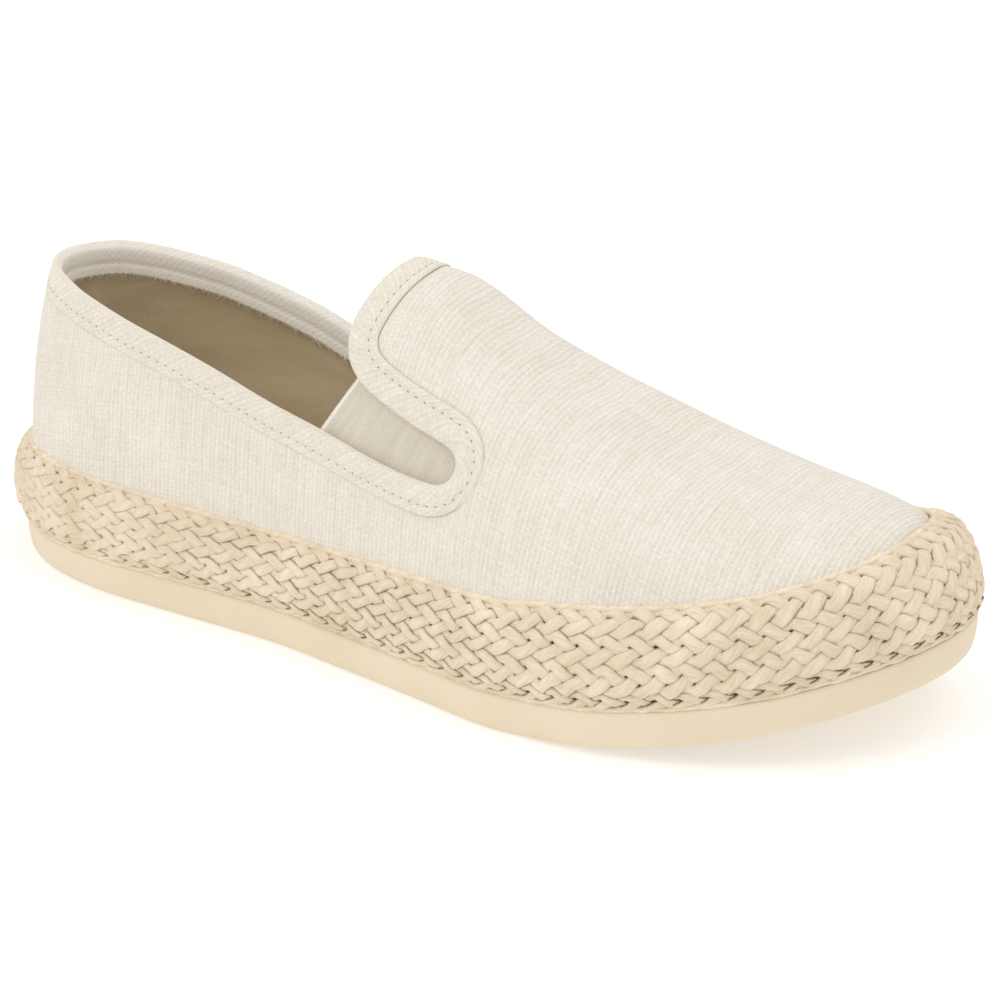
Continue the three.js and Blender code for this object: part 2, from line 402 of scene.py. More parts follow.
def outsole_point(turn, level):
    row = OUTSOLE_WALL[level]
    plan = outline(turn, row["outset"])
    return Vector((plan.x, plan.y, spring(plan.x) + row["height"]))


def add_wave(bm, x):
    """One raised wave of the tread, from the rim on the outer side to the rim on the inner side"""
    at = x / SOLE_LENGTH
    reach = TREAD_RIM - WAVE_OVERLAP
    start = toe_drift(at) - max(outer_half(at) - reach, 0)
    end = toe_drift(at) + max(inner_half(at) - reach, 0)
    root = TREAD_DEPTH + WAVE_ROOT
    profile = ((-0.5, root), (-0.36, 0), (0.36, 0), (0.5, root), (-0.5, root))
    sides = len(profile) - 1

    def point(along, share):
        y = start + (end - start) * along
        side, height = profile[round(share * sides)]
        bend = WAVE_SWING * math.sin(2 * math.pi * y / WAVE_LENGTH)
        place = x + bend + side * WAVE_WIDTH
        return Vector((place, y, spring(place) + height))

    bend_grid(bm, WAVE_STEPS, sides, point)


outsole_bm = bmesh.new()
add_rings(outsole_bm, AROUND, len(OUTSOLE_WALL), outsole_point)
add_lid(outsole_bm, AROUND, ACROSS, lambda turn: outsole_point(turn, 0))
add_lid(outsole_bm, AROUND, ACROSS, lambda turn: outsole_point(turn, len(OUTSOLE_WALL) - 1))
close_up(outsole_bm)
for i in range(int((SOLE_LENGTH - 2 * WAVES_FROM) / WAVE_PITCH)):
    add_wave(outsole_bm, WAVES_FROM + i * WAVE_PITCH)
close_up(outsole_bm)
bmesh.ops.holes_fill(outsole_bm, edges=outsole_bm.edges)
fit(make_object("rubber_outsole", outsole_bm), rubber_finish(), "rubber", "outsole")

# ---------------------------------------------------------------------------------------------------
# The core of the jute sole is a tray of coiled cord, glued solid. It carries the braids on its wall, and
# its inner face follows the last, so that the upper sits down into it.
# ---------------------------------------------------------------------------------------------------
JUTE_FLOOR = 6
JUTE_SWELL = 1.8
SEAT_GAP = 0.4
GAP = 0.3
CORE_DEPTH = 1.7
CORE_SHARE = 0.6  # of the rim's thickness, where the rim is thin
OVER_RIM = 3
FULL_ACROSS = 0.85
FULL_UPWARDS = 0.92
FEATHER_HEIGHT = OUTSOLE_HEIGHT + GAP + JUTE_FLOOR + GAP
SEAT_BELOW_RIM = 1.2
CORE_CLIMBS = (0, 0.1, 0.3, 0.5, 0.7, 0.82, 0.9)
SEAT_STEPS = (0.97, 0.8, 0.6, 0.4, 0.2, 0)
CORE_LEVELS = len(CORE_CLIMBS) + len(SEAT_STEPS)

JUTE_WALL = table(
    "at height out foot rim",
    (0, 18.8, 1, 2, 2.4),
    (0.13, 19.3, 0.6, 2.6, 2.7),
    (0.33, 18, -0.6, 3.5, 2.4),
    (0.5, 19.3, -0.8, 4, 2.4),
    (0.62, 20.8, -0.8, 4.5, 2.6),
    (0.72, 22.7, -0.6, 5, 2.8),
    (0.8, 22.4, -0.3, 5, 3.3),
    (0.9, 21.6, 0.2, 5, 4),
    (1, 21.2, 0.8, 5, 5),
)

RIDGE = table(
    "at height across",
    (0.09, 94, 0),
    (0.2, 95.5, 0),
    (0.3, 98, 0),
    (0.36, 96, 1),
    (0.41, 91.5, 3),
    (0.44, 90.5, 4),
    (0.472, 89.5, 5),
    (0.55, 77.5, 6),
    (0.65, 65.5, 8),
    (0.75, 56.5, 9),
    (0.88, 50.7, 10),
)

# How the wall's outer face rolls over its rim: a share of the height, and of the rim's thickness
JUTE_PROFILE = table(
    "at roll",
    (0, 0.3),
    (0.04, 0),
    (0.72, 0),
    (0.88, 0.12),
    (0.97, 0.45),
    (1, 0.8),
)

wall_height = smooth_curve(JUTE_WALL, "height")
foot_out = smooth_curve(JUTE_WALL, "out")
foot_thickness = smooth_curve(JUTE_WALL, "foot")
rim_thickness = smooth_curve(JUTE_WALL, "rim")
ridge_height = smooth_curve(RIDGE, "height")
ridge_across = smooth_curve(RIDGE, "across")
rim_roll = smooth_curve(JUTE_PROFILE, "roll")


def rib(turn, inset):
    """One rib of the last: its foot at the feather edge, its top on the ridge, and both heights"""
    share = share_at(turn)
    foot = outline(turn, -foot_thickness(share) - inset)
    at = RIDGE[0]["at"] + (RIDGE[-1]["at"] - RIDGE[0]["at"]) * share
    top = Vector((at * SOLE_LENGTH, ridge_across(at)))
    return foot, top, spring(foot.x) + FEATHER_HEIGHT, ridge_height(at) - inset


def last_point(turn, angle, inset):
    """A point of a rib, at an angle from 0 at the feather edge to a quarter turn on the ridge"""
    foot, top, base, crest = rib(turn, inset)
    plan = foot.lerp(top, 1 - max(math.cos(angle), 0) ** FULL_ACROSS)
    return Vector((plan.x, plan.y, base + (crest - base) * math.sin(angle) ** FULL_UPWARDS))


def last_at_height(turn, height, inset):
    foot, top, base, crest = rib(turn, inset)
    share = min(max((height - base) / (crest - base), 0), 1)
    return last_point(turn, math.asin(share ** (1 / FULL_UPWARDS)), inset)


def wall_level(turn, up):
    """The height of a share of the jute wall"""
    foot = spring(outline(turn, 0).x) + OUTSOLE_HEIGHT + GAP
    return foot + wall_height(share_at(turn)) * up


def wall_point(turn, up, depth=0):
    """A point of the jute wall's outer face, or some depth behind it. Past 1 it runs in over the rim."""
    share = share_at(turn)
    thickness = rim_thickness(share)
    rim = last_at_height(turn, wall_level(turn, 1), -SEAT_GAP - thickness)
    foot = outline(turn, foot_out(share))
    over = max(up - 1, 0) * OVER_RIM * thickness
    up = min(up, 1)
    swell = 4 * JUTE_SWELL * up * (1 - up) - rim_roll(up) * thickness - depth - over
    plan = foot.lerp(rim.to_2d(), up) + outline(turn, swell) - outline(turn, 0)
    return Vector((plan.x, plan.y, wall_level(turn, up)))


def seat_point(turn, share):
    floor = rib(turn, -SEAT_GAP)[2]
    height = floor + (wall_level(turn, 1) - SEAT_BELOW_RIM - floor) * share
    return last_at_height(turn, height, -SEAT_GAP)


def core_point(turn, level):
    """The section of the tray: up its outer face, over the rim, down its seat and onto the floor"""
    if level < len(CORE_CLIMBS):
        thickness = rim_thickness(share_at(turn))
        return wall_point(turn, CORE_CLIMBS[level], min(CORE_DEPTH, thickness * CORE_SHARE))
    return seat_point(turn, SEAT_STEPS[level - len(CORE_CLIMBS)])


def core_finish():
    """Jute painted darker than the strands: painted shade where the core shows through the slits between
    the braids
    """
    finish = Finish("jute_core", 0.95, specular=0.1)
    x, y, z = finish.place("Object")
    fibre = finish.noise(x, y, z, scale=700, detail=3)
    return finish.wear(finish.mix(fibre, colour(150, 127, 94), colour(186, 162, 126)), fibre, 0.0005)


core_bm = bmesh.new()
add_rings(core_bm, AROUND, CORE_LEVELS, core_point)
add_lid(core_bm, AROUND, ACROSS, lambda turn: core_point(turn, 0))
add_lid(core_bm, AROUND, ACROSS, lambda turn: core_point(turn, CORE_LEVELS - 1) - Vector((0, 0, GAP)))
add_rings(
    core_bm, AROUND, 2,
    lambda turn, level: core_point(turn, CORE_LEVELS - 1) - Vector((0, 0, GAP * level)),
)
close_up(core_bm)
fit(make_object("jute_core", core_bm), core_finish(), "jute", "jute_sole")

# ---------------------------------------------------------------------------------------------------
# The braids are flat three-strand plaits of jute, wound round the core in rows and stitched through.
# The strands cross from the edge of a plait to its middle, which gives chevrons that point to the toe
# on the outer side. The top plait rolls over the rim.
# ---------------------------------------------------------------------------------------------------
STRANDS = 3
CROSSINGS = 96  # of each plait, once round the shoe
STEPS_PER_CROSSING = 6
STRAND_SIDES = 10
STRAND_HALF = 1.6
STRAND_THICK = 0.8
STRAND_FLAT = 0.75
STRAND_DIP = 0.5
USUAL_WIDTH = 6.2
STRAND_BITE = 0.35
STRAIGHTNESS = 0.93
HEEL_RELIEF = 0.5
FULL_RELIEF = 1.25
SIDE_PULL = 0.095  # the strands are pulled thinner along the sides, which opens the slits there
WIDEST_STRAND = 1.25  # where a plait is wider than usual
DIP_UNDER = 0.4  # a strand goes under by this share of what it comes over by
DEEPEST_FOOT = 0.8  # how far in the wall's foot lies, where it is deepest
LENGTH_STEPS = 480
SLICE_STEPS = 8
UNEVEN_WIDTH = 0.09
UNEVEN_PATH = 0.22
WOBBLE_WAVES = 6
BRAID_SEED = 11

# Each plait lies between two places on the wall: shares of its height, which past 1 are over the rim.
# The lowest one is tucked in behind the rubber's edge where the wall stands out past it.
PLAITS = table(
    "name low high strand proud tuck",
    ("braid_foot", -0.03, 0.18, 0.75, 0.1, 0.2),
    ("braid_lower", 0.18, 0.5, 1, 0.35, 0),
    ("braid_upper", 0.5, 0.8, 1, 0.35, 0),
    ("braid_rim", 0.8, 1.12, 1, 0.35, 0),
)


def reach_of(points):
    """How far along a run of points each of them lies"""
    reach = [0.0]
    for start, end in zip(points, points[1:]):
        reach.append(reach[-1] + (end - start).length)
    return reach


def step_at(reach, length):
    """Which step of a run holds a length, and the share of that step"""
    i = min(max(bisect_right(reach, length), 1), len(reach) - 1) - 1
    return i, (length - reach[i]) / (reach[i + 1] - reach[i])


lengths = reach_of([outline(i / LENGTH_STEPS, 0) for i in range(LENGTH_STEPS + 1)])


def turn_at(share):
    """The turn at a share of the length of the way round"""
    i, part = step_at(lengths, share % 1 * lengths[-1])
    return (i + part) / LENGTH_STEPS


def wall_slice(turn, low, high):
    """Even steps up the wall's face at one place, each with the direction out of the wall there"""
    step = 2e-3
    ahead, behind = wall_point(turn + step, low), wall_point(turn - step, low)
    along = (ahead - behind).normalized()
    ups = [low + (high - low) * i / SLICE_STEPS for i in range(SLICE_STEPS + 1)]
    rough = [wall_point(turn, up) for up in ups]
    reach = reach_of(rough)

    def spot(share):
        i, part = step_at(reach, share * reach[-1])
        place = rough[i].lerp(rough[i + 1], part)
        before, after = rough[max(i - 1, 0)], rough[min(i + 2, SLICE_STEPS)]
        return place, along.cross(after - before).normalized()

    return spot, reach[-1]


def plait_strand(bm, plait, strand, wobble):
    """One strand of a plait, once round the shoe, as a closed tube with a flattened section"""
    count = CROSSINGS * STEPS_PER_CROSSING
    centres = []
    frames = []
    halves = []
    thicks = []
    for i in range(count):
        share = i / count
        turn = turn_at(share)
        at = share_at(turn)
        spot, width = wall_slice(turn, plait["low"], plait["high"])
        angle = 2 * math.pi * (share * CROSSINGS + strand) / STRANDS
        sway = 0.5 - STRAND_HALF * plait["strand"] * STRAND_BITE / width
        sweep = math.asin(STRAIGHTNESS * math.sin(angle)) / math.asin(STRAIGHTNESS)
        place, out = spot(0.5 + sway * sweep + UNEVEN_PATH * wobble(share, strand) / width)
        full = plait["strand"] * min(max(width / USUAL_WIDTH, 1), WIDEST_STRAND)
        relief = STRAND_DIP * min(HEEL_RELIEF + at * 2, FULL_RELIEF)
        dip = -math.sin(2 * angle) * relief
        dip = dip if dip > 0 else dip * DIP_UNDER
        tuck = plait["tuck"] * (foot_out(at) + DEEPEST_FOOT)
        rest = plait["proud"] - tuck - relief - STRAND_THICK * full
        halves.append(STRAND_HALF * full * (1 - SIDE_PULL * 4 * at * (1 - at)))
        thicks.append(STRAND_THICK * full)
        centres.append(place + out * (rest + dip))
        frames.append(out)

    def point_at(along, around):
        i = round(along * count) % count
        heading = (centres[(i + 1) % count] - centres[i - 1]).normalized()
        across = frames[i].cross(heading).normalized()
        out = heading.cross(across)
        swell = 1 + UNEVEN_WIDTH * wobble(along + 0.31, strand + 5)
        turn = 2 * math.pi * around
        rise = math.copysign(abs(math.sin(turn)) ** STRAND_FLAT, math.sin(turn))
        return centres[i] + (across * (math.cos(turn) * halves[i]) + out * (rise * thicks[i])) * swell

    span = lengths[-1] * 1.25
    bend_grid(
        bm, count, STRAND_SIDES, point_at,
        lambda along, around: (along * span + strand * 37, around * STRAND_SIDES),
    )


def make_wobble(seed):
    """A smooth random swing between -1 and 1, once round the shoe"""
    chance = random.Random(seed)
    waves = []
    for _ in range(WOBBLE_WAVES):
        waves.append((chance.randint(20, 150), chance.uniform(0, 6.28), chance.uniform(0, 6.28)))

    def wobble(share, strand):
        turn = 2 * math.pi * share
        parts = [math.sin(turn * beats + start + strand * other) for beats, start, other in waves]
        return sum(parts) / 2.4

    return wobble


def strand_finish():
    """Pale jute: long fibres twisted along each strand, some bleached, with painted shade on each
    strand's sides and underside, in the grooves
    """
    finish = Finish("jute_strand", 0.88, specular=0.2)
    along, around, _ = finish.place("UV")
    x, y, z = finish.place("Object")
    twisted = around + along * 0.35
    fibres = finish.noise(along * 0.22, twisted * 1.6, 0, scale=1, detail=4, rough=0.65)
    patches = finish.noise(x, y, z, scale=90, detail=2)
    paint = finish.mix(
        (fibres * 0.75 + patches * 0.5).spread(0.4, 0.82), colour(220, 199, 169), colour(249, 234, 211),
    )
    # Painted shade: each strand turns dark brown on its sides and underside, where the grooves between
    # strands fall in shade.
    facing_for_painted_shade = (around * (2 * math.pi / STRAND_SIDES)).sine()
    paint = finish.mix(facing_for_painted_shade.spread(-0.12, 0.64), colour(110, 86, 57), paint)
    return finish.wear(paint, fibres, 0.00045)


jute_strand = strand_finish()
for number, plait in enumerate(PLAITS):
    plait_bm = bmesh.new()
    wobble = make_wobble(BRAID_SEED + number)
    for strand in range(STRANDS):
        plait_strand(plait_bm, plait, strand, wobble)
    close_up(plait_bm)
    fit(make_object(plait["name"], plait_bm), jute_strand, "jute")

# ---------------------------------------------------------------------------------------------------
# Two jute cords cover the turns of the outermost braids: one at the rim, where the upper goes down
# behind it, and one at the foot, on the rubber.
# ---------------------------------------------------------------------------------------------------
CORD_STEPS = 480
CORD_SEED = 14
CORD_UNEVEN_PATH = 0.1
CORD_UNEVEN_WIDTH = 0.08
TOE_FROM = 0.6

# Which plait each cord edges, where on it, its radius, and how far it sinks in, all round and at the toe
CORDS = table(
    "name plait place radius sink toe_sink",
    ("rim_cord", -1, 1.02, 0.95, 0, 0.5),
    ("foot_cord", 0, 0.1, 0.75, 0.4, 0),
)
cord_wobble = make_wobble(CORD_SEED)


def cord_centre(cord, i):
    share = i / CORD_STEPS
    turn = turn_at(share)
    plait = PLAITS[cord["plait"]]
    spot, _ = wall_slice(turn, plait["low"], plait["high"])
    place, out = spot(cord["place"])
    toe = max(share_at(turn) - TOE_FROM, 0) / (1 - TOE_FROM)
    sink = cord["sink"] + cord["toe_sink"] * toe + CORD_UNEVEN_PATH * cord_wobble(share, 3)
    return place - out * sink


def add_cord(bm, cord):
    run = [cord_centre(cord, i) for i in range(CORD_STEPS)]

    def point(along, around):
        i = round(along * CORD_STEPS) % CORD_STEPS
        heading = (run[(i + 1) % CORD_STEPS] - run[i - 1]).normalized()
        across = Vector((0, 0, 1)).cross(heading).normalized()
        turn = 2 * math.pi * around
        radius = cord["radius"] * (1 + CORD_UNEVEN_WIDTH * cord_wobble(along, 9))
        return run[i] + (across * math.cos(turn) + heading.cross(across) * math.sin(turn)) * radius

    bend_grid(
        bm, CORD_STEPS, STRAND_SIDES, point,
        lambda along, around: (along * lengths[-1], (0.15 + 0.2 * around) * STRAND_SIDES),
    )


for cord in CORDS:
    cord_bm = bmesh.new()
    add_cord(cord_bm, cord)
    close_up(cord_bm)
    fit(make_object(cord["name"], cord_bm), jute_strand, "jute")

# ---------------------------------------------------------------------------------------------------
# The insole is a thin fibre board covered with the lining's cotton. It is dropped in over the jute
# floor, between the lower edges of the upper.
# ---------------------------------------------------------------------------------------------------
UPPER_WALL = 2
INSOLE = table("inset height", (0.2, 0), (0.2, 2.2), (0.5, 2.8), (1.2, 3.2), (3, 3.3))


def cotton_finish():
    """Fine khaki cotton twill"""
    finish = Finish("cotton_lining", 0.9, specular=0.15)
    x, y, z = finish.place("Object")
    twill = ((x + z * 1.3 + y * 0.6) * 9000).sine()
    cloud = finish.noise(x * 0.3, y, z * 1.6, scale=75, detail=3)
    tone = (cloud + twill * 0.03).spread(0.3, 0.7)
    paint = finish.mix(tone, colour(204, 187, 156), colour(224, 209, 180))
    return finish.wear(paint, twill * 0.3 + cloud, 0.0001)


def insole_point(turn, level):
    row = INSOLE[level]
    foot, _, base, _ = rib(turn, UPPER_WALL + GAP + row["inset"])
    return Vector((foot.x, foot.y, base + row["height"]))


cotton = cotton_finish()
insole_bm = bmesh.new()
add_rings(insole_bm, AROUND, len(INSOLE), insole_point)
add_lid(insole_bm, AROUND, ACROSS, lambda turn: insole_point(turn, 0))
add_lid(insole_bm, AROUND, ACROSS, lambda turn: insole_point(turn, len(INSOLE) - 1))
close_up(insole_bm)
fit(make_object("cotton_insole", insole_bm), cotton, "lining", "insole")

# ---------------------------------------------------------------------------------------------------
# The upper is one wall of slubby linen canvas lasted over the foot's form: the vamp with its flap, and
# the quarters, joined at a seam down the back. A cotton lining is glued inside it. Both are open at the
# collar and at the two notches beside the flap.
# ---------------------------------------------------------------------------------------------------
CLOTH_AROUND = 288
CLOTH_UPWARDS = 48
LINEN_THICKNESS = 1.25
THREAD = 1.24
NOTCH_END = (139.8, 57)
NOTCH_RADIUS = 4.9
NOTCH_TURN = 0.84 * math.pi / 2
COLLAR_STEPS = 60
ARC_STEPS = 24
SPLINE_STEPS = 10
BEYOND = 150
EDGE_TRIM = 1.2
BACK_SEAM_REACH = 0.03  # metres forward of the heel's end

# Soft dents that wear and packing have left, seen from the outer side
CREASES = table(
    "x height to_x to_height half deep",
    (19.5, 72, 20.5, 64, 2.6, 0.55),
    (31, 66, 40, 59.5, 3.2, 0.4),
    (19, 54, 27, 48, 3, 0.45),
    (30, 45.5, 42, 43, 3, 0.35),
    (58, 45, 80, 40, 5, 0.35),
    (148, 60, 157, 38, 5, -0.35),
    (168, 57, 172, 36, 6, 0.3),
)

COLLAR = table(
    "at height",
    (-0.1, 75.5),
    (0.055, 75.5),
    (0.115, 73.6),
    (0.195, 69.8),
    (0.275, 65.1),
    (0.355, 59.3),
    (0.415, 56.4),
    (0.495, 53),
    (0.54, 52.1),
)
FLAP_EDGE = ((125.5, 66.2), (113, 71), (108, 78), (108.7, 86), (110, 91), (112, 101))

collar_height = smooth_curve(COLLAR, "height")


def spline(points):
    """A smooth run through points of the side view"""
    found = []
    for i in range(len(points) - 1):
        before, start = points[max(i - 1, 0)], points[i]
        end, after = points[i + 1], points[min(i + 2, len(points) - 1)]
        lead, trail = (end - before) / 2, (after - start) / 2
        for step in range(SPLINE_STEPS):
            t = step / SPLINE_STEPS
            found.append(
                start * (2 * t ** 3 - 3 * t ** 2 + 1)
                + lead * (t ** 3 - 2 * t ** 2 + t)
                + end * (3 * t ** 2 - 2 * t ** 3)
                + trail * (t ** 3 - t ** 2)
            )
    return [*found, points[-1]]


def collar_run():
    """The edge of the opening in the side view, from behind the heel to above the flap"""
    start = COLLAR[0]["at"] * SOLE_LENGTH
    run = []
    for i in range(COLLAR_STEPS):
        x = start + (NOTCH_END[0] - start) * i / COLLAR_STEPS
        run.append(Vector((x, collar_height(x / SOLE_LENGTH))))
    for i in range(ARC_STEPS + 1):
        turn = -math.pi / 2 + (NOTCH_TURN + math.pi / 2) * i / ARC_STEPS
        run.append(Vector(NOTCH_END) + Vector((math.cos(turn), math.sin(turn))) * NOTCH_RADIUS)
    return run[:-1] + spline([run[-1], *map(Vector, FLAP_EDGE)])


side_run = collar_run()


def opening_cutter():
    """A tool as wide as the shoe. It takes away all that is above the edge of the opening, and a little
    below, where the facing covers the cut."""
    bm = bmesh.new()
    trimmed = []
    for i, point in enumerate(side_run):
        along = side_run[min(i + 1, len(side_run) - 1)] - side_run[max(i - 1, 0)]
        trimmed.append(point + Vector((along.y, -along.x)).normalized() * EDGE_TRIM)
    top = [Vector((trimmed[-1].x, BEYOND)), Vector((trimmed[0].x, BEYOND))]
    corners = [bm.verts.new((point.x, -BEYOND, point.y)) for point in trimmed + top]
    face = bm.faces.new(corners)
    across = bmesh.ops.extrude_face_region(bm, geom=[face])["geom"]
    moved = [part for part in across if isinstance(part, bmesh.types.BMVert)]
    bmesh.ops.translate(bm, vec=(0, 2 * BEYOND, 0), verts=moved)
    close_up(bm)
    return make_object("opening_cutter", bm)


def cloth_angle(up):
    return math.pi / 2 * up


def cloth_map(inset):
    """Where each point lies on the flat cloth: along the foot, and down from the ridge"""
    middle = CLOTH_AROUND // 4
    rings = []
    for level in range(CLOTH_UPWARDS + 1):
        angle = cloth_angle(level / CLOTH_UPWARDS)
        rings.append([last_point(i / CLOTH_AROUND, angle, inset) for i in range(CLOTH_AROUND + 1)])
    along = []
    for ring in rings:
        row = [point.x for point in ring]
        for i in range(middle - 1, -1, -1):
            row[i] = row[i + 1] - (ring[i + 1] - ring[i]).length
        for i in range(CLOTH_AROUND - middle + 1, CLOTH_AROUND + 1):
            row[i] = row[i - 1] - (ring[i] - ring[i - 1]).length
        along.append(row)
    down = [[0.0] * (CLOTH_AROUND + 1)]
    for above, below in zip(reversed(rings), list(reversed(rings))[1:]):
        steps = [math.hypot(b.y - a.y, b.z - a.z) for a, b in zip(above, below)]
        down.append([so_far + step for so_far, step in zip(down[-1], steps)])
    down.reverse()

    def place(turn, up):
        i = round(turn * CLOTH_AROUND)
        level = round(up * CLOTH_UPWARDS)
        return along[level][i], down[level][i]

    return place


def crease(point):
    """How far in the creases press the cloth at a point"""
    if point.y > 0:
        return 0
    pressed = 0
    spot = Vector((point.x, point.z))
    for row in CREASES:
        start = Vector((row["x"], row["height"]))
        run = Vector((row["to_x"], row["to_height"])) - start
        share = min(max((spot - start).dot(run) / run.length_squared, 0), 1)
        gap = (spot - start - run * share).length / row["half"]
        pressed += row["deep"] * math.exp(-gap * gap) * (0.4 + 2.4 * share * (1 - share))
    return pressed


def creased_point(turn, up, inset):
    flat = last_point(turn, cloth_angle(up), inset)
    return last_point(turn, cloth_angle(up), inset + crease(flat)) if 0 < up < 1 else flat


def make_shell(name, outer, inner):
    """A wall between two depths in the last, cut open at the collar and the notches"""
    bm = bmesh.new()
    place = cloth_map(outer)

    def face(inset):
        return lambda turn, up: creased_point(turn, up, inset)

    bend_grid(bm, CLOTH_AROUND, CLOTH_UPWARDS, face(outer), place)
    bend_grid(bm, CLOTH_AROUND, CLOTH_UPWARDS, face(inner), place)
    add_rings(bm, CLOTH_AROUND, 2, lambda turn, level: last_point(turn, 0, inner if level else outer))
    close_up(bm)
    shell = make_object(name, bm)
    cut = shell.modifiers.new("opening", "BOOLEAN")
    cut.operation = "DIFFERENCE"
    cut.solver = "EXACT"
    cut.object = cutter
    whole = shell.evaluated_get(bpy.context.evaluated_depsgraph_get())
    mesh = bpy.data.meshes.new_from_object(whole)
    shell.modifiers.clear()
    shell.data = mesh
    mesh.name = name
    mesh.shade_smooth()
    return shell


def weave(finish, along, down):
    """A plain weave: the threads that lie across the foot are the thicker ones"""
    drift = finish.noise(along * 0.05, down * 0.05, 0, detail=1)
    warp = along * (math.pi / THREAD) + drift * 1.4
    weft = down * (math.pi / THREAD * 1.15) + drift
    cross = warp.sine() * weft.sine()
    return (abs(warp.sine()) + cross * 0.45).highest(abs(weft.sine()) * 0.6 - cross * 0.45)


def linen_finish(name, pale, dark, relief, turned=False, seam=False):
    """Oatmeal linen: slubs and darker flecks run along the threads, and a seam may run down the back.
    Cut on the bias, its turned-in edge is darkened with painted shade and its inner half is lightened
    with painted light."""
    finish = Finish(name, 0.9, specular=0.15, sheen=0.12)
    along, down, _ = finish.place("UV")
    across = down
    if turned:
        along, down = (along + down) * 0.707, (down - along) * 0.707
    threads = weave(finish, along, down)
    slubs = finish.noise(along * 0.9, down * 0.07, 3, scale=1, detail=3, rough=0.6)
    thin_slubs = finish.noise(along * 0.06, down * 0.9, 8, scale=1, detail=3, rough=0.6)
    flecks = finish.noise(along, down, 1, scale=1.1, detail=2)
    clouds = finish.noise(along * 0.05, down * 0.05, 5, detail=3)
    threads = threads * (finish.noise(along * 0.4, down * 0.4, 9, detail=1) + 0.45)
    tone = threads * 0.22 + slubs * 0.6 + thin_slubs * 0.3 + flecks * 0.55 + clouds * 0.25
    height = threads * 0.6 + slubs * 0.6 + flecks * 0.6
    if seam:
        x, y, _ = finish.place("Object")
        ends = HEEL_END.x + BACK_SEAM_REACH
        beside = abs(y - HEEL_END.y).spread(0.0002, 0.0009).highest(x.spread(ends, ends + 0.001))
        tone = tone + beside * 0.5 - 0.5
        height = height + beside * 3
    paint = finish.mix(tone.spread(0.7, 1.3), dark, pale)
    if turned:
        # Painted light: the inner hem, inside the shoe, is lightened towards near-white.
        paint = finish.mix(across.spread(12.5, 14) * 0.85, paint, colour(255, 251, 243))
        # Painted shade: the strip's turned-in edge, the step where it meets the linen, is darkened.
        paint = finish.mix(across.spread(0.7, 1.3), colour(158, 146, 124), paint)
    return finish.wear(paint, height, relief)


cutter = opening_cutter()
linen = linen_finish("oatmeal_linen", colour(241, 236, 226), colour(216, 207, 191), 0.0002, seam=True)
fit(make_shell("linen_upper", 0, LINEN_THICKNESS), linen, "linen", "upper")
fit(make_shell("cotton_lining", LINEN_THICKNESS + 0.03, UPPER_WALL), cotton, "lining")
bpy.data.objects.remove(cutter)

# ---------------------------------------------------------------------------------------------------
# The facing is a strip of the same linen, cut on the bias and folded over the whole edge of the
# opening. Outside it is turned in and topstitched. Inside its raw edge is left to fray.
# ---------------------------------------------------------------------------------------------------
EDGE_STEP = 1.3
FLAP_TOP = 86
FLAP_OVERLAP = 4
FLAP_FRONT = 115
HEEL_FROM = 12
RAYS_ACROSS = 26
MARCH_STEP = 0.5
SPARE_STEPS = 6
SMOOTHINGS = 3
FACING_WIDTH = 7.6
HEM_WIDTH = 8.6

# The section of the folded strip: how far from the edge, and how far out of the linen's face
FOLD = table(
    "away out",
    (FACING_WIDTH, -0.25),
    (FACING_WIDTH, 0.35),
    (7.3, 0.7),
    (6.6, 0.82),
    (5.9, 0.74),
    (5.2, 0.5),
    (4.5, 0.74),
    (3.7, 0.85),
    (2.6, 0.85),
    (1.6, 0.78),
    (0.8, 0.55),
    (0.25, 0.1),
    (0, -0.6),
    (0, -1.3),
    (0.3, -2),
    (1, -2.4),
    (2.2, -2.5),
    (3.6, -2.5),
    (4.6, -2.45),
    (5.2, -2.2),
    (5.8, -2.45),
    (6.8, -2.5),
    (8, -2.5),
    (HEM_WIDTH, -2.4),
)
HEM_HANGS = 0.9
FLAP_FOLD = 0.8
FACING_THICKNESS = 0.3
STRIP_ROUND = 22  # the width of the cloth that is folded into the strip
CLOSING_STEPS = 12  # towards the flap's edge, from above

# Where the flap, the notches' ends and the quarters begin: soft steps in height and in length
FLAP_HEIGHTS = (56.5, 62)
FLAP_LENGTHS = (98, 107)
NOTCH_LENGTHS = (122, 140)
QUARTER_LENGTHS = (86, 97)
FOLD_LENGTHS = (0, 4)


def last_tree():
    """The last's surface, to find where things lie on the cloth"""
    bm = bmesh.new()
    bend_grid(
        bm, CLOTH_AROUND, CLOTH_UPWARDS, lambda turn, up: last_point(turn, cloth_angle(up), 0),
    )
    close_up(bm)
    tree = BVHTree.FromBMesh(bm)
    bm.free()
    return tree


last = last_tree()


def from_side(x, height, side):
    """The place on the cloth that the side view shows: -1 is the outer side, 1 the inner side"""
    return last.ray_cast(Vector((x, side * BEYOND, height)), Vector((0, -side, 0)))[0]


def from_behind(y):
    return last.ray_cast(Vector((-BEYOND, y, COLLAR[0]["height"])), Vector((1, 0, 0)))[0]


def flap_x(height):
    """How far forward the flap's edge is, at a height near its top"""
    run = [point for point in side_run if point.y >= FLAP_TOP - FLAP_OVERLAP and point.x < FLAP_FRONT]
    for low, high in zip(run, run[1:]):
        if low.y <= height <= high.y:
            return low.x + (high.x - low.x) * (height - low.y) / (high.y - low.y)
    return run[0].x if height < run[0].y else run[-1].x


def from_above(y):
    """The place on the flap's edge at a distance across the foot"""
    height = FLAP_TOP
    for _ in range(CLOSING_STEPS):
        hit = last.ray_cast(Vector((flap_x(height), y, BEYOND)), Vector((0, 0, -1)))[0]
        height = hit.z
    return hit


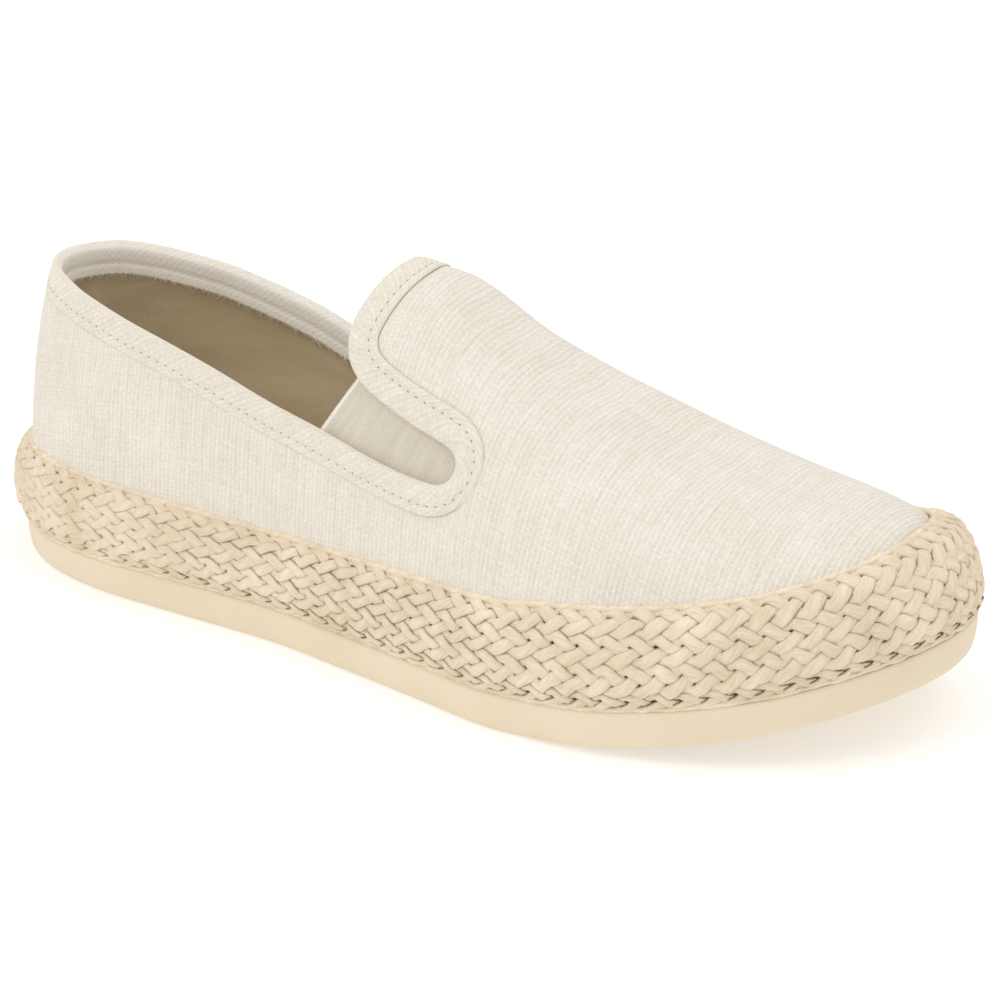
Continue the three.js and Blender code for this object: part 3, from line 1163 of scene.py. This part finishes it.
def opening_edge():
    """The closed edge of the opening on the cloth, with points an even step apart"""
    side = [point for point in side_run if point.x > HEEL_FROM and point.y < FLAP_TOP]
    inner = [from_side(point.x, point.y, 1) for point in side]
    outer = [from_side(point.x, point.y, -1) for point in reversed(side)]
    flap = [
        from_above(inner[-1].y + (outer[0].y - inner[-1].y) * i / RAYS_ACROSS)
        for i in range(1, RAYS_ACROSS)
    ]
    heel = [
        from_behind(outer[-1].y + (inner[0].y - outer[-1].y) * i / RAYS_ACROSS)
        for i in range(1, RAYS_ACROSS)
    ]
    rough = flap + outer + heel + inner
    rough.append(rough[0])
    reach = reach_of(rough)
    count = round(reach[-1] / EDGE_STEP)
    even = []
    for i in range(count):
        j, part = step_at(reach, reach[-1] * i / count)
        even.append(rough[j].lerp(rough[j + 1], part))
    for _ in range(2):
        even = [(even[i - 1] + even[i] * 2 + even[(i + 1) % count]) / 4 for i in range(count)]
    return [last.find_nearest(point)[0] for point in even]


def march(start, along):
    """Walks over the cloth, square to the edge and away from the opening."""
    spot, normal = last.find_nearest(start)[:2]
    heading = normal.cross(along).normalized()
    path = [(spot, normal, heading)]
    for _ in range(int(HEM_WIDTH / MARCH_STEP) + SPARE_STEPS):
        spot, normal = last.find_nearest(spot + heading * MARCH_STEP)[:2]
        heading = (heading - normal * heading.dot(normal)).normalized()
        path.append((spot, normal, heading))
    return path


edge = opening_edge()
EDGE_COUNT = len(edge)
edge_length = sum((edge[i] - edge[i - 1]).length for i in range(EDGE_COUNT))


def smoothed(paths):
    """Each path drawn halfway to its two neighbours"""
    found = []
    for i in range(EDGE_COUNT):
        path = []
        for here, before, after in zip(paths[i], paths[i - 1], paths[(i + 1) % EDGE_COUNT]):
            path.append((
                (here[0] * 2 + before[0] + after[0]) / 4,
                (here[1] * 2 + before[1] + after[1]).normalized(),
                (here[2] * 2 + before[2] + after[2]).normalized(),
            ))
        found.append(path)
    return found


paths = []
for i in range(EDGE_COUNT):
    paths.append(march(edge[i], (edge[(i + 1) % EDGE_COUNT] - edge[i - 1]).normalized()))
for _ in range(SMOOTHINGS):
    paths = smoothed(paths)


def on_strip(place, away, out):
    """A point beside the edge: its place along it, how far from it, and how far out of the cloth"""
    i = place % 1 * EDGE_COUNT
    first, share = int(i) % EDGE_COUNT, i % 1
    found = []
    for path in (paths[first], paths[(first + 1) % EDGE_COUNT]):
        j = min(max(away, 0) / MARCH_STEP, len(path) - 1.001)
        low, high = path[int(j)], path[int(j) + 1]
        spot = low[0].lerp(high[0], j % 1)
        normal = low[1].lerp(high[1], j % 1).normalized()
        found.append(spot + low[2] * min(away, 0) + normal * out)
    return found[0].lerp(found[1], share)


def ease(value, low, high):
    """A soft step: 0 at low and below, 1 at high and above"""
    share = min(max((value - low) / (high - low), 0), 1)
    return share * share * (3 - 2 * share)


def on_flap(place):
    spot = on_strip(place, 0, 0)
    return ease(spot.z, *FLAP_HEIGHTS) * ease(spot.x, *FLAP_LENGTHS)


def proudness(place):
    """The strip stands proud round the flap and the notches' ends. It lies flat along the quarters."""
    return 0.2 + 0.8 * max(on_flap(place), ease(on_strip(place, 0, 0).x, *NOTCH_LENGTHS))


def hem_hangs(place, away):
    """Inside the quarters the raw hem hangs clear of the lining."""
    on_quarter = 1 - ease(on_strip(place, 0, 0).x, *QUARTER_LENGTHS)
    return HEM_HANGS * max(away / HEM_WIDTH, 0) * on_quarter


def facing_point(along, up):
    row = FOLD[round(up * (len(FOLD) - 1))]
    away, out = row["away"], row["out"]
    if out > 0:
        out *= proudness(along)
    elif out < -1:
        out -= hem_hangs(along, away)
    edge_share = 1 - ease(away, *FOLD_LENGTHS)
    return on_strip(along, away - FLAP_FOLD * edge_share * on_flap(along), out)


facing_bm = bmesh.new()
bend_grid(
    facing_bm, EDGE_COUNT, len(FOLD) - 1, facing_point,
    lambda along, up: (along * edge_length, up * STRIP_ROUND),
)
close_up(facing_bm)
bmesh.ops.solidify(facing_bm, geom=facing_bm.faces, thickness=FACING_THICKNESS)
close_up(facing_bm)
facing = make_object("facing_strip", facing_bm)
bias_linen = linen_finish(
    "bias_linen", colour(239, 233, 221), colour(214, 205, 188), 0.00008, turned=True,
)
fit(facing, bias_linen, "linen")

# ---------------------------------------------------------------------------------------------------
# The topstitching is one row of pale thread through the strip, two thirds of the way across it. Each
# stitch pulls down at its ends, where the needle left a hole.
# ---------------------------------------------------------------------------------------------------
STITCH_PITCH = 2.6
STITCH_ROW = 5.2
STITCH_SIZE = (0.98, 0.3, 0.26)
HOLE_SIZE = (0.36, 0.28, 0.16)
STITCH_OUT = (0.5, 0.02)  # a share of how proud the strip is, and a height over that
HOLE_OUT = (0.58, -0.1)


def add_bead(bm, place, away, out, size, segments):
    """A small rounded bead laid along the strip"""
    centre = on_strip(place, away, out)
    along = (on_strip(place + 0.4 / edge_length, away, out) - centre).normalized()
    normal = (on_strip(place, away, out + 1) - centre).normalized()
    across = normal.cross(along).normalized()
    turn = Matrix((along, across, normal)).transposed().to_4x4()
    stretch = Matrix.Diagonal((*size, 1))
    matrix = Matrix.Translation(centre) @ turn @ stretch
    bmesh.ops.create_uvsphere(bm, u_segments=segments, v_segments=6, radius=1, matrix=matrix)


def thread_finish(name, pale, dark):
    """Cotton thread, twisted from two plies"""
    finish = Finish(name, 0.8, specular=0.25)
    x, y, z = finish.place("Object")
    fuzz = finish.noise(x, y, z, scale=2500, detail=2)
    return finish.wear(finish.mix(fuzz, dark, pale), fuzz, 0.0001)


def even_places(away, pitch):
    """Places along the strip that are an even pitch apart, some distance from the edge"""
    steps = EDGE_COUNT * 2
    reach = reach_of([on_strip(i / steps, away, 0) for i in range(steps + 1)])
    count = round(reach[-1] / pitch)
    found = [step_at(reach, reach[-1] * i / count) for i in range(count)]
    return [(i + part) / steps for i, part in found]


stitch_bm = bmesh.new()
hole_bm = bmesh.new()
for number, place in enumerate(even_places(STITCH_ROW, STITCH_PITCH / 2)):
    proud = proudness(place)
    if number % 2:
        add_bead(hole_bm, place, STITCH_ROW, HOLE_OUT[0] * proud + HOLE_OUT[1], HOLE_SIZE, 8)
    else:
        add_bead(stitch_bm, place, STITCH_ROW, STITCH_OUT[0] * proud + STITCH_OUT[1], STITCH_SIZE, 10)
stitches = make_object("topstitching", stitch_bm)
fit(stitches, thread_finish("cotton_thread", colour(243, 237, 224), colour(216, 206, 186)), "linen")
# The needle holes are small dark beads: painted shade where the thread goes down into the strip.
holes = make_object("needle_holes", hole_bm)
fit(holes, thread_finish("needle_shadow", colour(184, 172, 150), colour(156, 143, 121)), "linen")

# ---------------------------------------------------------------------------------------------------
# The facing's raw edge inside the shoe is frayed. It is the loose ends of its own linen threads, each
# a little bent and tapered, hanging over the lining.
# ---------------------------------------------------------------------------------------------------
FRAY_PITCH = 0.4
FRAY_SEED = 8
FRAY_ROOT = 0.6
FRAY_DEPTH = 2.35
FRAY_CURL = 0.25
FRAY_SIDES = 4
FRAY_STEPS = 3


def add_fibre(bm, place, chance):
    """One loose thread end, tapering, that starts under the raw edge and hangs past it"""
    start = HEM_WIDTH - FRAY_ROOT
    reach = 0.9 + chance.uniform(0.1, 1.4) ** 2 * 0.8
    lean = chance.gauss(0, 0.6)
    bend = chance.gauss(0, 0.5)
    half = chance.uniform(0.1, 0.22)
    depth = -FRAY_DEPTH - chance.uniform(0, 0.35) - hem_hangs(place, HEM_WIDTH)

    def point(along, around):
        sway = (lean * along + bend * along * along) * reach / edge_length
        turn = 2 * math.pi * around
        width = half * (1 - 0.7 * along)
        sideways = math.cos(turn) * width / edge_length
        out = depth - along * along * FRAY_CURL + math.sin(turn) * width
        return on_strip(place + sway + sideways, start + reach * along, out)

    bend_grid(bm, FRAY_STEPS, FRAY_SIDES, point)


chance = random.Random(FRAY_SEED)
fray_bm = bmesh.new()
for place in even_places(HEM_WIDTH, FRAY_PITCH):
    add_fibre(fray_bm, place, chance)
bmesh.ops.remove_doubles(fray_bm, verts=fray_bm.verts, dist=JOIN_WITHIN)
bmesh.ops.holes_fill(fray_bm, edges=fray_bm.edges)
bmesh.ops.recalc_face_normals(fray_bm, faces=fray_bm.faces)
frayed = make_object("frayed_edge", fray_bm)
fit(frayed, thread_finish("linen_thread", colour(236, 228, 212), colour(208, 196, 176)), "linen")

# ---------------------------------------------------------------------------------------------------
# The two gores are ribbed elastic webbing, sewn behind the notches so that the throat can stretch.
# Their back edges are folded over and run free.
# ---------------------------------------------------------------------------------------------------
GORE_DEPTH = 3.1
GORE_THICKNESS = 0.5
GORE_COLUMNS = 60
GORE_ROWS = 36
GORE_HEM = 0.06
HEM_RISE = 0.25
GORE_SIZE = (46, 26)  # the webbing laid flat
GORE_CORNERS = ((99.5, 51.5), (114.5, 76.8), (150, 47), (152, 61))


def elastic_finish():
    """Fine ribs parallel to the free edge, with the rubber's slight unevenness, and a painted highlight
    along the folded free edge
    """
    finish = Finish("ribbed_elastic", 0.82, specular=0.2)
    forward, up, _ = finish.place("UV")
    ribs = (forward * (2 * math.pi / 0.85)).sine() * 0.5 + 0.5
    knit = (up * (2 * math.pi / 0.6)).sine() * 0.5 + 0.5
    cloud = finish.noise(forward * 0.5, up * 0.06, 2, detail=3)
    tone = ribs * 0.2 + knit * 0.1 + cloud * 0.7
    paint = finish.mix(tone.spread(0.2, 0.95), colour(205, 197, 178), colour(231, 225, 209))
    # Painted highlight: the first 1.2 mm from the folded free edge is painted near-white, as where the
    # fold catches the light.
    past_edge_highlight = forward.spread(1.2, 1.6)
    paint = finish.mix(past_edge_highlight, colour(252, 245, 229), paint)
    crease_line = abs(forward - 1.9).spread(0, 0.4)
    return finish.wear(paint, ribs + knit * 0.4 + crease_line * 2, 0.0001)


def gore_spot(forward, up, side, out):
    low_back, high_back, low_front, high_front = map(Vector, GORE_CORNERS)
    spot = low_back.lerp(low_front, forward).lerp(high_back.lerp(high_front, forward), up)
    hit, normal = last.ray_cast(Vector((spot.x, side * BEYOND, spot.y)), Vector((0, -side, 0)))[:2]
    return hit - normal * (GORE_DEPTH - out)


def gore_section(share):
    """Round the webbing's section: along its outer face, then back along its inner face"""
    steps = GORE_COLUMNS // 2
    step = round(share * GORE_COLUMNS)
    forward = min(step, GORE_COLUMNS - step) / steps
    face = 1 if step <= steps else -1
    hem = HEM_RISE if 0 < forward < GORE_HEM else 0
    out = 0 if forward in (0, 1) else face * GORE_THICKNESS + hem
    return forward, out


def make_gore(name, side):
    bm = bmesh.new()

    def point(share, up):
        forward, out = gore_section(share)
        return gore_spot(forward, up, side, out)

    bend_grid(
        bm, GORE_COLUMNS, GORE_ROWS, point,
        lambda share, up: (gore_section(share)[0] * GORE_SIZE[0], up * GORE_SIZE[1]),
    )
    close_up(bm)
    bmesh.ops.holes_fill(bm, edges=bm.edges)
    return make_object(name, bm)


elastic = elastic_finish()
for name, side in (("outer", -1), ("inner", 1)):
    fit(make_gore("elastic_gore_" + name, side), elastic, "elastic", "gore_" + name)

# ---------------------------------------------------------------------------------------------------
# The floor is a wide pale board. The light is soft and nearly even, as in a white tent, and a little
# stronger from the left.
# ---------------------------------------------------------------------------------------------------
FLOOR_HALF = 6
FLOOR_GLOW = 0.42
WORLD_LIGHT = 0.77
LIGHTS = table(
    "name place size power",
    ("key", (-1.0, -1.6, 2.2), 1.8, 16),
    ("top", (0.5, 0.3, 2.4), 2.2, 16),
)

floor_bm = bmesh.new()
bmesh.ops.create_grid(floor_bm, x_segments=1, y_segments=1, size=FLOOR_HALF)
floor_mesh = bpy.data.meshes.new("floor")
floor_bm.to_mesh(floor_mesh)
floor_bm.free()
floor = bpy.data.objects.new("floor", floor_mesh)
bpy.context.scene.collection.objects.link(floor)
floor_finish = Finish("pale_board", 0.7, specular=0.1)
floor_finish.shader.inputs["Emission Color"].default_value = colour(255, 255, 254)
floor_finish.shader.inputs["Emission Strength"].default_value = FLOOR_GLOW
floor_mesh.materials.append(floor_finish.wear(colour(214, 213, 210)))

world = bpy.data.worlds.new("studio")
bpy.context.scene.world = world
world.use_nodes = True
world.node_tree.nodes["Background"].inputs["Color"].default_value = (1, 1, 1, 1)
world.node_tree.nodes["Background"].inputs["Strength"].default_value = WORLD_LIGHT
for row in LIGHTS:
    light_data = bpy.data.lights.new(row["name"], "AREA")
    light_data.size = row["size"]
    light_data.energy = row["power"]
    light = bpy.data.objects.new(row["name"], light_data)
    light.location = row["place"]
    light.rotation_mode = "QUATERNION"
    light.rotation_quaternion = (-Vector(row["place"])).to_track_quat("-Z", "Y")
    bpy.context.scene.collection.objects.link(light)
bpy.context.scene.view_settings.view_transform = "Standard"
